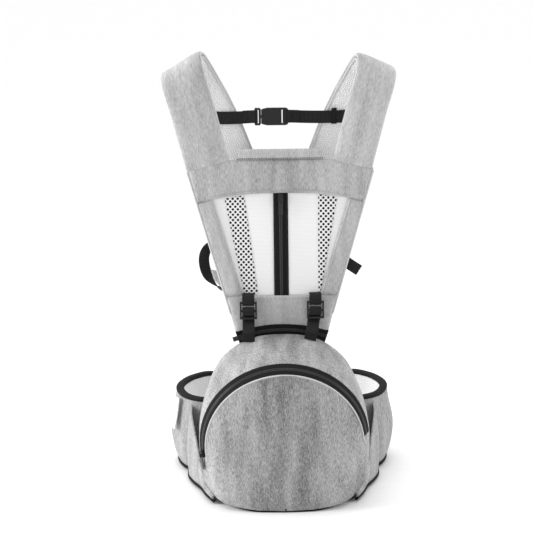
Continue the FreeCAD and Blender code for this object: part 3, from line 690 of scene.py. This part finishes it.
def panel_half(s):
    return PANEL_FOOT_HALF + PANEL_SPREAD * s


def window_half(s):
    return WINDOW_FOOT_HALF + (s - WINDOW_LOW) / (WINDOW_HIGH - WINDOW_LOW) * WINDOW_SPREAD


def quilt(name, low, high, back, front, material, nodes=(), step=4.0, round_at=4.0,
          puff=0.0, **facts):
    """A soft flat piece of the panel between two matched lines of (across, up) points.

    It runs from back to front through the panel, thins out over round_at at its edges,
    and swells by puff in its middle.
    """
    low, high = np.array(low, float), np.array(high, float)
    spots = run_along(low + high)
    count = max(3, int(spots[-1] / 2 / step))
    even = np.linspace(0, spots[-1], count)
    low = np.stack([np.interp(even, spots, low[:, k]) for k in (0, 1)], 1)
    high = np.stack([np.interp(even, spots, high[:, k]) for k in (0, 1)], 1)
    rows = max(3, int(np.linalg.norm(high - low, axis=1).max() / step))
    v = np.linspace(0, 1, rows)
    plan = low[None] * (1 - v[:, None, None]) + high[None] * v[:, None, None]
    reach = np.linalg.norm(high - low, axis=1)[None, :]
    v_edge = np.minimum(v, 1 - v)[:, None] * reach
    ends = np.minimum(even, spots[-1] - even)[None, :] / 2
    edge = np.minimum(v_edge, np.broadcast_to(ends, v_edge.shape))
    fall = 1 - np.clip(1 - edge / round_at, 0, 1) ** 2 * 0.85
    swell = puff * np.clip(edge / 18, 0, 1) ** 0.7
    middle, half = (back + front) / 2, (back - front) / 2
    wavy = np.array([[noise.noise(Vector((p[0], p[1], half)) * 0.03) for p in row] for row in plan])
    t_front = middle - half * fall - swell * (1 + 0.5 * wavy)
    t_back = middle + half * fall + swell * 0.3
    outer = on_panel(plan[..., 0], plan[..., 1], t_front)
    inner = on_panel(plan[..., 0], plan[..., 1], t_back)
    weave = np.stack([plan[..., 1], plan[..., 0], t_front * 0], axis=-1)
    return shell(name, outer, inner, weave, material, nodes=nodes, sharp=60, **facts)


def panel_line(points, t, step=2.0):
    line = resample(np.array(points, float), step)
    return on_panel(line[:, 0], line[:, 1], np.full(len(line), float(t)))


def mirrored(half):
    """A line across the panel from its left half, whose last point is in the middle."""
    return half + [(-x, s) for x, s in half[-2::-1]]


PANEL_NORMAL = (0.0, -math.cos(PANEL_LEAN), math.sin(PANEL_LEAN))


def make_panel():
    drop = PANEL_FOOT[2] - SEAT_ZIP_Z
    angles = np.linspace(-1, 1, 25) * math.radians(SEAT_ZIP_DEG)
    foot = [(230.2 * math.sin(a), 230.2 * math.cos(a) - drop) for a in angles]
    wide = panel_half(WINDOW_LOW)
    top = [(x, WINDOW_LOW) for x in np.linspace(-wide, wide, 25)]
    quilt("panel_base_cloth", foot, top, PANEL_HALF, -PANEL_HALF, "heather_cloth",
          nodes=["panel_base"], puff=1.2)
    hem = [(-wide + 3, WINDOW_LOW - 3.5), (wide - 3, WINDOW_LOW - 3.5)]
    stitches("panel_base_stitches", panel_line(hem, -PANEL_HALF - 1.0), PANEL_NORMAL,
             "thread_pale")

    high = WINDOW_HIGH - 5
    for ending, sign in SIDES:
        outer = [(sign * panel_half(s), s) for s in np.linspace(WINDOW_LOW, high, 12)]
        inner = [(sign * window_half(s), s) for s in np.linspace(WINDOW_LOW, WINDOW_HIGH, 12)]
        quilt(f"panel_side_cloth_{ending}", outer, inner, PANEL_HALF, -PANEL_HALF,
              "heather_cloth", nodes=[f"panel_side_{ending}"], puff=0.9)
        rim = [(sign * (panel_half(s) + 0.3), s) for s in (20, WINDOW_LOW, high, 246)]
        tube(f"panel_edge_piping_{ending}", panel_line(rim, 0), 1.7, "pale_piping",
             slot="heather_cloth")
        seam = [(sign * (window_half(s) + 3.5), s) for s in (WINDOW_LOW + 2, WINDOW_HIGH - 2)]
        stitches(f"panel_side_stitches_{ending}", panel_line(seam, -PANEL_HALF - 0.5),
                 PANEL_NORMAL, "thread_pale")

    low = mirrored([(-131.4, 198), (-107, 203), (-60, 210.5), (0, BAND_MIDDLE)])
    high = mirrored([(-146, 250), (-110, 259), (-68, PANEL_TOP), (0, PANEL_TOP)])
    quilt("panel_band_cloth", spline(low, 4), spline(high, 4), PANEL_HALF, -PANEL_HALF,
          "heather_band_painted_shade", nodes=["panel_top_band"], puff=1.6, slot="heather_cloth")
    seam = [(x, s + 4) for x, s in low[1:-1]]
    stitches("panel_band_stitches", panel_line(spline(seam, 6), -PANEL_HALF - 1.2),
             PANEL_NORMAL, "thread_pale")

    flap_low = [(x, PANEL_TOP) for x in np.linspace(-68, 68, 9)]
    flap_high = mirrored([(-65, 278), (-58, 281), (-34, 281), (-17, 281), (0, 281)])
    flap = quilt("neck_flap_cloth", flap_low, flap_high, 4.5, -4.5, "heather_cloth",
                 nodes=["neck_flap"], step=2.0, round_at=6.0, puff=0.8)
    # Stitches of dark thread on the flap's seam. Their darkness is also painted shade, standing in
    # for the shadows along the seam.
    stitches("neck_flap_stitches_painted_shade", panel_line([(-66, 266.5), (66, 266.5)], -3.4),
             PANEL_NORMAL, "thread_dark", pitch=3.4, length=2.0, size=0.55)

    for ending, sign in SIDES:
        outer = [(sign * (window_half(s) + 4), s) for s in np.linspace(45, 207, 8)]
        inner = [(sign * 11.5, s) for s in np.linspace(45, 216, 8)]
        quilt(f"window_mesh_{ending}", outer, inner, 4.5, 2.5, "white_mesh",
              nodes=[f"panel_mesh_{ending}"], round_at=1.0)
    strips = {
        "left": ([(-59, 50), (-88, 204)], [(-37, 50), (-57, 209)]),
        "right": ([(62, 52), (89, 204)], [(58.5, 52), (59, 209)]),
    }
    for ending, (outer, inner) in strips.items():
        quilt(f"window_vent_{ending}", outer, inner, 2.4, 1.4, "vent_cloth",
              nodes=[f"panel_vent_{ending}"], round_at=1.0, slot="white_mesh")

    quilt("centre_zip_cloth", [(-11.5, 46), (-11.5, 212)], [(11.5, 46), (11.5, 212)], 4.0, 1.6,
          "zip_tape", nodes=["centre_zip_tape"], round_at=1.2)
    for side_name, x in (("left", -1.3), ("right", 1.3)):
        line = panel_line([(x, 48), (x, 211)], 1.3, 0.8)
        coil(f"centre_zip_coil_{side_name}", line, 1.35)
    for ending, sign in SIDES:
        seam = [(sign * 9.5, 48), (sign * 9.5, 210)]
        stitches(f"centre_zip_stitches_{ending}", panel_line(seam, 1.5), PANEL_NORMAL,
                 "thread_dark")


make_panel()


def make_seat_zip():
    angles = np.linspace(-1, 1, 90) * math.radians(SEAT_ZIP_DEG)
    outer, inner, weave = [], [], []
    for radius, lift in ((207, 0), (211, 0.5), (215, 0.2), (219, 0.5), (222, 0), (226, 0),
                         (229.5, 0.3), (234, 0)):
        x, z = radius * np.sin(angles), SEAT_ZIP_Z + radius * np.cos(angles)
        front = SEAT_REAR_Y + 0.6
        outer.append(np.stack([x, x * 0 + front - lift, z], 1))
        inner.append(np.stack([x, x * 0 + front + 1.6, z], 1))
        weave.append(np.stack([angles * radius, x * 0 + radius, x * 0], 1))
    shell("seat_zip_tapes", outer, inner, weave, "zip_tape", nodes=["seat_zip_tape"])
    for name, radius in (("low", SEAT_ZIP_RADIUS - 1.3), ("high", SEAT_ZIP_RADIUS + 1.3)):
        line = np.stack([radius * np.sin(angles), angles * 0 + SEAT_REAR_Y + 0.2,
                         SEAT_ZIP_Z + radius * np.cos(angles)], 1)
        coil(f"seat_zip_coil_{name}", line, 1.35)


make_seat_zip()


# ------------ ladder-lock webbing


def make_lock_webbing(ending, turn):
    """The loop round a ladder lock's top bar, and the strap from the seat round its low bar."""
    slant = LOCK_SLANTS[ending]
    upper = [(LOCK_LOOP_Y, 303), (LOCK_Y - 0.5, 301), (LOCK_Y - 3.4, 296),
             (LOCK_Y - 3.4, LOCK_Z), (LOCK_Y - 2.4, LOCK_Z - 2.6), (LOCK_Y, LOCK_Z - 3.6),
             (LOCK_Y + 2.4, LOCK_Z - 2.6), (LOCK_Y + 3.4, LOCK_Z), (LOCK_Y + 3.6, 293),
             (LOCK_LOOP_Y - 1.2, 297.5)]
    lower = [(49.0, 230.2 + 0.25 * slant), (49.6, 239), (51, 246), (60.5, 253.5), (71.2, 259.4),
             (71.9, 264), (71.8, 274), (70.8, 279.8), (LOCK_Y, 281.6), (64.0, 280.8),
             (62.5, 275), (62.2, 270)]
    for name, route, lean in (("loop", upper, 0.0), ("strap", lower, slant)):
        path = [(LOCK_X + lean * max(0.0, (LOCK_SLANT_TOP - z) / LOCK_SLANT_DROP), y, z)
                for y, z in route]
        webbing(f"lock_{name}_web_{ending}", turn(path), (1.0, 0.0, 0.0), LOCK_WEB_HALF,
                [f"lock_{name}_{ending}"], step=1.2)


both(make_lock_webbing)


# ------------ shoulder straps

STRAP_PATH = [
    (-113.0, 90.0, 503.8), (-123, 86, 545), (-135, 84, 592), (-144, 85, 622),
    (-149, 88.5, 641), (-150.5, 96.5, 654), (-149, 108, 660), (-144.5, 120, 657),
    (-137, 129, 644), (-126, 132.5, 624), (-111, 134, 596), (-93, 135, 557),
    (-75, 135, 511), (-58, 134, 465), (-46, 131, 428)]
STRAP_TAPER = (0.985, 0.955, 0.895, 0.82, 0.7, 0.545)
STRAPS = {"left": (34.0, 0.52), "right": (30.5, 0.38)}


def strap_lines(half_width, fold):
    """Middle line, across directions and half widths of a left shoulder strap."""
    rises = [0.26, 0.27, 0.28, 0.31, fold - 0.09, fold - 0.02, fold, fold, fold - 0.02,
             fold - 0.06, 0.38, 0.37, 0.37, 0.34, 0.31]
    across = [(math.sqrt(1 - rise * rise), 0, rise) for rise in rises]
    path, across = spline(STRAP_PATH, 3), spline(across, 3)
    widths = np.array([1.0] * (len(path) - 6) + list(STRAP_TAPER)) * half_width
    dense = 3
    return spline(path, dense), spline(across, dense), smooth(widths, dense)


def eased(value, power):
    """The value's size raised to the power, with its sign kept."""
    return math.copysign(abs(value) ** power, value)


def pad_outline(half_width, half_thick):
    """Pillow section of a padded strap: full in the middle, thin at its two sewn edges."""
    return [(half_width * eased(math.cos(a), 0.55), half_thick * eased(math.sin(a), 0.8))
            for a in np.linspace(0, 2 * math.pi, 40, endpoint=False)]


def make_strap(ending, turn):
    path, across, widths = strap_lines(*STRAPS[ending])
    sign = 1 if ending == "left" else -1
    path = turn(path)
    across = turn(across)
    half = STRAP_THICK / 2

    def pad(i, share):
        full = half * min(1.0, 0.55 + share * 8, 0.5 + (1 - share) * 6)
        return pad_outline(widths[i], full)

    piece = band(f"shoulder_pad_cloth_{ending}", path, across, pad, "heather_cloth", wave=1.3,
                 nodes=[f"shoulder_pad_{ending}"], sharp=70)
    side, normal = frames(path, across)

    def edging(kind, inset, lift, ends, step, radius):
        """A cord along each edge of the strap, in from it by inset and off its middle by lift."""
        for name, edge in (("outer", -1), ("inner", 1)):
            lane = path + side * (widths[:, None] - inset) * edge * sign + normal * sign * lift
            tube(f"shoulder_{kind}_{name}_{ending}", resample(lane[ends:-ends], step), radius,
                 "pale_piping", slot="heather_cloth")

    edging("piping", 0.4, 0.5, 1, 3.0, 1.5)

    def lining(i, share):
        w = widths[i] - 3.0
        dome = 0.6
        a = np.linspace(-w, w, 13)
        under = [(x, sign * (half - 0.6)) for x in a]
        over = [(x, sign * (half + LINING - 0.6 + dome * (1 - (x / w) ** 2)
                            - 1.6 * abs(x / w) ** 8)) for x in a[::-1]]
        return under + over

    band(f"shoulder_lining_mesh_{ending}", path, across, lining, "rib_mesh",
         nodes=[f"shoulder_mesh_{ending}"], slot="white_mesh", sharp=60)
    edging("binding", 3.2, half + 0.9, 2, 2.5, 1.7)


both(make_strap)


# ------------ side and chest webbing

SIDE_WEBS = {
    "left": ([(-46.5, 121.2, 426), (-48, 121, 418), (-58, 118, 408), (-84, 110, 394),
              (-108, 101, 380), (-120, 97, 366), (-122, 96, 348), (-116, 96, 328),
              (-103, 96, 312), (-93, 95, 306)],
             [(0.95, 0, 0.31), (0.9, 0.1, 0.4), (0.75, 0.2, 0.62), (0.5, 0.35, 0.8),
              (0.7, 0.4, 0.6), (0.85, 0.45, 0.3), (0.9, 0.42, 0.1), (0.85, 0.45, -0.3),
              (0.6, 0.6, -0.5), (0.3, 0.7, -0.6)]),
    "right": ([(46.5, 121.2, 426), (50, 120.6, 416), (60, 117, 398), (74, 110, 376),
               (92, 102, 356), (108, 98, 344), (124, 96, 333.5)],
              [(0.95, 0, -0.31), (0.95, 0.05, -0.3), (0.9, 0.1, 0.35), (0.75, 0.1, 0.6),
               (0.6, 0.1, 0.8), (0.56, 0.1, 0.83), (0.56, 0.1, 0.83)]),
}
SIDE_TABS = {
    "left": ([(-84, 62), (-95, 88), (-112, 92)], [(-88, 61), (-93, 60), (-106, 74)]),
    "right": ([(71.5, 62), (80.5, 88), (96, 92)], [(75, 61), (79, 60), (90, 74)]),
}


def make_side_webbing():
    for ending, (path, across) in SIDE_WEBS.items():
        webbing(f"side_web_{ending}", path, across, 9.0, [f"side_webbing_{ending}"])
        outer, inner = SIDE_TABS[ending]
        quilt(f"side_tab_cloth_{ending}", outer, inner, 4.3, 2.5, "heather_cloth",
              nodes=[f"side_tab_{ending}"], step=2.0, round_at=1.5)


make_side_webbing()


def bar_loop(name, bar_x, sign, y, z, half_width, bar_half, bar_deep):
    """Webbing folded round a buckle's end bar; sign points from the bar to the strap."""
    r = bar_deep + 1.0
    path = [(bar_x + sign * 20, y - 1.6, z), (bar_x + sign * 9, y - 1.9, z),
            (bar_x + sign * (bar_half + 1.6), y - r * 0.8, z), (bar_x, y - r, z),
            (bar_x - sign * (bar_half + 0.8), y - r * 0.75, z),
            (bar_x - sign * (bar_half + 1.6), y, z),
            (bar_x - sign * (bar_half + 0.8), y + r * 0.75, z), (bar_x, y + r, z),
            (bar_x + sign * (bar_half + 1.6), y + r * 0.8, z),
            (bar_x + sign * 9, y + 1.9, z), (bar_x + sign * 14, y + 1.7, z)]
    webbing(name, path, (0, 0, 1), half_width, thick=1.4, step=1.0)


def make_chest_webbing():
    for ending, x0, x1 in (("left", -126.0, CHEST_X - 11.5), ("right", CHEST_X + 43.5, 126.0)):
        x = np.linspace(x0, x1, 9)
        slack = np.sin(np.linspace(0, math.pi, 9))
        path = np.stack([x, CHEST_Y - 0.3 * slack, CHEST_Z - 1.6 * slack], axis=1)
        webbing(f"chest_web_{ending}", path, (0, 0, 1), 10.0, [f"chest_webbing_{ending}"])
    bar_loop("chest_loop_left", CHEST_X - 9.05, -1, CHEST_Y, CHEST_Z, 9.9, 1.5, 4.0)
    bar_loop("chest_loop_right", CHEST_X + 39.2, 1, CHEST_Y, CHEST_Z, 9.9, 3.2, 4.5)
    keeper = [(86, CHEST_Y - 1.9, CHEST_Z + 12.4), (86, CHEST_Y - 1.9, CHEST_Z - 12.4)]
    webbing("chest_web_keeper", keeper, (1, 0, 0), 4.2, material="black_binding")


make_chest_webbing()


# ------------ waist belt

BELT_PATH = [(-109, 84, 0), (-134, 90, 0), (-154, 107, 0), (-166, 135, 0), (-170, 166, 0),
             (-164, 198, 0), (-149, 227, 0), (-122, 248, 0), (-94, 259, 0), (-64, 265, 0)]
BELT_LOW = [9.0] * 8 + [19.0, 34.0]
BELT_HIGH = [123.0] * 8 + [113.0, 98.0]
BELT_STEPS = 8
GUSSET_PATH = [(-109.5, -52, 0), (-121, -24, 0), (-129.5, 4, 0), (-142, 32, 0), (-151, 60, 0),
               (-152.5, 90, 0)]
GUSSET_TOPS = [14.0, 28.0, 58.0, 94.0, 109.0, 116.0]
GUSSET_LEANS = [4.0, 8.0, 8.0, 4.0, 0.0, 0.0]
GUSSET_FOOT = 8.0


def inward_of(path):
    """Level directions square to a line of the belt, towards the wearer."""
    tangent = unit(np.gradient(path, axis=0))
    return np.stack([tangent[:, 1], -tangent[:, 0], tangent[:, 0] * 0], axis=1)


def upright(point, z):
    """A column of points over this one, at these heights."""
    return np.stack([z * 0 + point[0], z * 0 + point[1], z], axis=1)


def belt_line():
    """The left half of the belt: its plan, its two edges' heights and its inward directions."""
    path = spline(BELT_PATH, BELT_STEPS)
    return path, smooth(BELT_LOW, BELT_STEPS), smooth(BELT_HIGH, BELT_STEPS), inward_of(path)


def belt_sheet(name, turn, offset, thick, material, nodes, puff=0.0, relief=0.0, margin=0.0,
               bulge=0.0, **facts):
    """A wall that follows the belt; offset is towards the wearer, bulge swells it outwards."""
    path, low, high, inward = belt_line()
    run = run_along(path)
    levels = np.linspace(0, 1, 22)
    outer, inner, weave = [], [], []
    for i, point in enumerate(path):
        z = low[i] + margin + (high[i] - low[i] - 2 * margin) * levels
        edge = np.minimum(levels, 1 - levels) * (high[i] - low[i])
        fall = np.clip(edge / 12, 0, 1) ** 0.5
        along = math.sin(math.pi * min(1.0, 1.2 * i / (len(path) - 1)))
        barrel = bulge * along * np.sin(math.pi * levels ** 0.9)
        swell = puff * fall
        shake = np.array([relief * noise.noise(Vector((point[0] * 0.02, point[1] * 0.02,
                                                        h * 0.025))) for h in z]) * fall
        out = offset - thick / 2 - swell - shake - barrel
        back = offset + thick / 2 + swell * 0.25
        base = upright(point, z)
        outer.append(base + inward[i] * out[:, None])
        inner.append(base + inward[i] * back[:, None])
        weave.append(np.stack([z, z * 0 + run[i], z * 0], axis=1))
    return shell(name, turn(outer), turn(inner), weave, material, nodes=nodes, sharp=60, **facts)


def make_belt(ending, turn):
    path, low, high, inward = belt_line()
    wing = belt_sheet(f"belt_wing_cloth_{ending}", turn, 0, BELT_THICK - 2, "heather_dark_painted_shade",
                      [f"belt_wing_{ending}"], puff=1.0, relief=2.0, bulge=9.5,
                      slot="heather_cloth")
    belt_sheet(f"belt_lining_mesh_{ending}", turn, (BELT_THICK + LINING) / 2 - 0.2,
               LINING - 0.3, "rib_mesh", [f"belt_lining_{ending}"], puff=0.4,
               slot="white_mesh", margin=1.0)
    half = (BELT_THICK + LINING + 1.5) / 2
    angles = [2 * math.pi * k / 18 for k in range(18)]
    fold = [((BINDING_HIGH / 2 + 0.6) * eased(math.cos(a), 0.7), half * eased(math.sin(a), 0.7))
            for a in angles]
    for name, level, sign in (("top", high, 1), ("low", low, -1)):
        line = path.copy()
        line[:, 2] = level + sign * BINDING_HIGH / 2
        line = line + inward * LINING / 2
        band(f"belt_{name}_tape_{ending}", turn(resample(line, 4.0)), (0, 0, 1),
             lambda i, share: fold, "black_binding", nodes=[f"belt_{name}_binding_{ending}"])
        sewn = path.copy()
        sewn[:, 2] = level - sign * 4.5
        sewn = turn(resample(sewn - inward * (BELT_THICK / 2 + 0.4), 4.0))
        away = turn(unit(np.gradient(sewn, axis=0))[:, [1, 0, 2]] * np.array([-1, 1, 0]))
        stitches(f"belt_{name}_stitches_{ending}", sewn, away, "thread_pale", pitch=4.2)


both(make_belt)


def make_gusset(ending, turn):
    """Side cloth from the seat's flank back to the wing, and the black tape along its foot."""
    path = spline(GUSSET_PATH, 6)
    tops, leans = smooth(GUSSET_TOPS, 6), smooth(GUSSET_LEANS, 6)
    inward = inward_of(path)
    levels = np.linspace(0, 1, 14)
    outer, inner, weave = [], [], []
    for i, point in enumerate(path):
        z = GUSSET_FOOT + (tops[i] - GUSSET_FOOT) * levels
        tuck = 5.0 * levels ** 3 - leans[i] * levels
        base = upright(point, z)
        swell = 2.0 * np.sin(math.pi * levels) + 1.2
        outer.append(base + inward[i] * (tuck - swell)[:, None])
        inner.append(base + inward[i] * (tuck + 1.0)[:, None])
        weave.append(np.stack([z, z * 0 + point[1], z * 0], axis=1))
    shell(f"belt_gusset_cloth_{ending}", turn(outer), turn(inner), weave, "heather_dark_painted_shade",
          nodes=[f"belt_gusset_{ending}"], sharp=60, slot="heather_cloth")
    line = path.copy()
    line[:, 2] = GUSSET_FOOT - 2
    fold = [(3.5 * math.cos(a), 3.0 * math.sin(a)) for a in np.linspace(0, 2 * math.pi, 13)[:-1]]
    band(f"belt_gusset_tape_{ending}", turn(resample(line, 4.0)), (0, 0, 1),
         lambda i, share: fold, "black_binding")


both(make_gusset)


def make_back_pad():
    rings, weave = [], []
    for share in np.linspace(0, 1, 26):
        z = 4.5 + 124 * share
        edge = min(share, 1 - share) * 125
        fall = min(1.0, edge / 10) ** 0.5
        outline = pad_outline(102 * (0.985 + 0.015 * fall), 3.2 + 2.9 * fall)
        rings.append([(a, SEAT_REAR_Y + 6.9 + b, z) for a, b in outline])
        weave.append([(z, a, b) for a, b in outline])
    pad = loft("back_pad_cloth", rings, weave, "black_cloth", nodes=["belt_back_pad"])


make_back_pad()


def make_waist_webbing():
    for (ending, sign), near, end in zip(SIDES, (50, 57), (35.2, 50.4)):
        path = [(sign * 88, WAIST_Y - 5.5, WAIST_Z), (sign * 64, WAIST_Y - 0.7, WAIST_Z),
                (sign * near, WAIST_Y, WAIST_Z), (sign * end, WAIST_Y, WAIST_Z)]
        webbing(f"waist_web_{ending}", path, (0, 0, 1), 16.0, [f"waist_webbing_{ending}"])


make_waist_webbing()


def make_belt_tab():
    outward = np.array([-0.905, -0.42, 0.0])
    across = np.array([0.42, -0.905, 0.0])
    middle = np.array([-163.5, 118.5, 97.0]) + outward * 12.0
    half_high, half_wide = 25, 8.5
    rows = []
    for z in np.linspace(-half_high, half_high, 14):
        lean = 1.0 * (z / half_high) ** 2 - 0.18 * z
        rows.append([middle + across * a + outward * (lean + 0.4 * (a / half_wide) ** 2)
                     + np.array([0, 0, z]) for a in np.linspace(-half_wide, half_wide, 7)])
    outer = np.array(rows) + outward * 0.8
    inner = np.array(rows) - outward * 0.8
    weave = [[(p[2], a, 0) for p, a in zip(row, range(7))] for row in rows]
    shell("belt_tab_cloth_left", outer, inner, weave, "white_cloth", nodes=["belt_tab_left"])


make_belt_tab()


# ------------ hard CAD parts


def dress_hard_nodes():
    """The CAD's own zip sliders, pulls, buckles and ladder locks keep their shapes."""
    for name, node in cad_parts.items():
        metal = "slider" in name or "zip_pull" in name
        node.data.materials.clear()
        node.data.materials.append(MATS["zip_metal" if metal else "black_plastic"])


dress_hard_nodes()


# ------------ studio


def make_studio():
    bpy.ops.mesh.primitive_plane_add(size=200, location=(0, 0, 0))
    floor = bpy.context.object
    floor.name = "floor"
    paper = Shader("floor_paper", 0.7)
    grain = paper.noise(paper.add("ShaderNodeTexCoord").outputs["Object"], 60.0, 2.0)
    paper.colour(paper.ramp(grain, [(0.3, grey(0.86)), (0.7, grey(0.88))]))
    floor.data.materials.append(paper.bump(grain, 0.02, 0.0005))

    world = bpy.data.worlds.new("studio")
    bpy.context.scene.world = world
    world.use_nodes = True
    sky = world.node_tree.nodes["Background"]
    sky.inputs["Color"].default_value = (1.0, 1.0, 1.0, 1.0)
    sky.inputs["Strength"].default_value = 0.5

    sun = bpy.data.lights.new("overhead", "SUN")
    sun.energy = 2.15
    sun.angle = math.radians(70.0)
    overhead = bpy.data.objects.new("overhead", sun)
    overhead.rotation_euler = (math.radians(-12.0), 0.0, 0.0)
    bpy.context.scene.collection.objects.link(overhead)

    lamps = (
        ("key", (-2.0, -0.15, 0.9), 1.0, 40.0),
        ("fill", (2.0, -0.2, 0.9), 1.0, 15.0),
    )
    target = Vector((0, 0.05, 0.33))
    for name, spot, size, power in lamps:
        data = bpy.data.lights.new(name, "AREA")
        data.size = size
        data.energy = power
        lamp = bpy.data.objects.new(name, data)
        lamp.location = spot
        lamp.rotation_euler = (target - Vector(spot)).to_track_quat("-Z", "Y").to_euler()
        bpy.context.scene.collection.objects.link(lamp)


def make_camera():
    azimuth, elevation = math.radians(-1.0), math.radians(12.0)
    target, distance = Vector((0, 0.040, 0.330)), 2.3
    back = Vector((math.sin(azimuth) * math.cos(elevation),
                   -math.cos(azimuth) * math.cos(elevation), math.sin(elevation)))
    data = bpy.data.cameras.new("camera")
    data.sensor_width = 36.0
    data.lens = 100.0
    data.shift_x = -0.029
    data.shift_y = 0.027
    camera = bpy.data.objects.new("camera", data)
    camera.location = target + back * distance
    level = (-back).to_track_quat("-Z", "Y")
    roll = Quaternion((0, 0, 1), math.radians(CAMERA_ROLL))
    camera.rotation_euler = (level @ roll).to_euler()
    bpy.context.scene.collection.objects.link(camera)
    bpy.context.scene.camera = camera


make_studio()
make_camera()
bpy.context.scene.view_settings.view_transform = "Standard"
